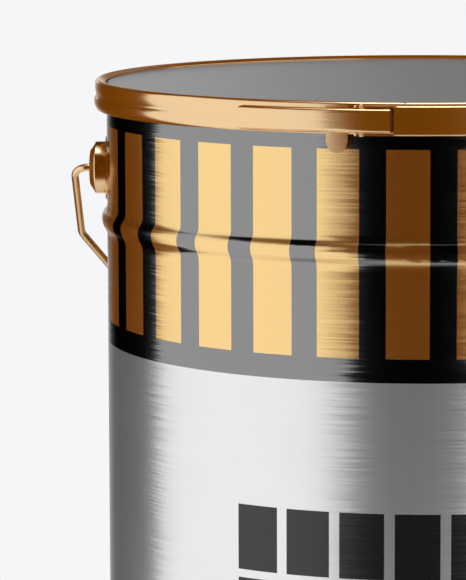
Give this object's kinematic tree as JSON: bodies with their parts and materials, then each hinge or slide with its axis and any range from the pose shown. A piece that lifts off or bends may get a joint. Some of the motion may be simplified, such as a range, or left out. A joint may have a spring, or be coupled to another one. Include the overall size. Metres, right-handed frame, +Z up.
{
  "type": "paint can",
  "caption": "Steel paint pail with a flat lid, a lever-lock closing ring, bail ears and a wire bail with a grip.",
  "frame": {"origin": "on the pail's axis in its base plane, where the bottom chime stands", "axes": "+Z up along the pail's axis, the closing lever at -Y, the bail ears on the X axis, the bail hanging at +Y"},
  "size_m": [0.3252, 0.3223, 0.345],
  "materials": {
    "body_steel": "bare brushed steel with a printed gloss black band and gold bars on its upper part",
    "end_steel": "plain tinplate",
    "compound": "cured sealing compound",
    "gold_metal": "gold lacquered steel, satin gloss",
    "lid_paint": "gloss black lacquered steel",
    "gasket_rubber": "matte foamed rubber",
    "grip_plastic": "moulded black plastic",
    "pin_steel": "drawn steel"
  },
  "bodies": {
    "can": {"body_shell": "body_steel", "bottom_end": "end_steel", "seam_compound": "compound", "ear_plate_left": "gold_metal", "ear_plate_right": "gold_metal", "ear_cup_left": "gold_metal", "ear_cup_right": "gold_metal"},
    "bail": {"bail_wire": "gold_metal"},
    "grip": {"bail_grip": "grip_plastic"},
    "lid": {"lid": "lid_paint", "lid_skirt": "lid_paint", "lid_gasket": "gasket_rubber"},
    "ring": {"closure_ring": "gold_metal", "hinge_bracket": "gold_metal", "bracket_rivets": "gold_metal", "hinge_pin": "pin_steel", "closing_yoke": "gold_metal", "catch_clip": "gold_metal", "clip_rivets": "gold_metal"},
    "lever": {"lever": "gold_metal", "hook_pin": "gold_metal"}
  },
  "joints": [
    {"name": "bail_swing", "type": "hinge", "parent": "can", "child": "bail", "pos_m": [0, 0, 0.3024], "axis": [1, 0, 0], "range_deg": [0, 270]},
    {"name": "grip_spin", "type": "hinge", "parent": "bail", "child": "grip", "pos_m": [0, 0.15648, 0.14592], "axis": [1, 0, 0], "continuous": true},
    {"name": "lid_lift", "type": "slide", "parent": "can", "child": "lid", "axis": [0, 0, 1], "range_m": [0, 0.25]},
    {"name": "ring_lift", "type": "slide", "parent": "lid", "child": "ring", "axis": [0, 0, 1], "range_m": [0, 0.1]},
    {"name": "lever_swing", "type": "hinge", "parent": "ring", "child": "lever", "pos_m": [-0.01359, -0.1523, 0.3374], "axis": [0, 0, 1], "range_deg": [0, 90]}
  ]
}
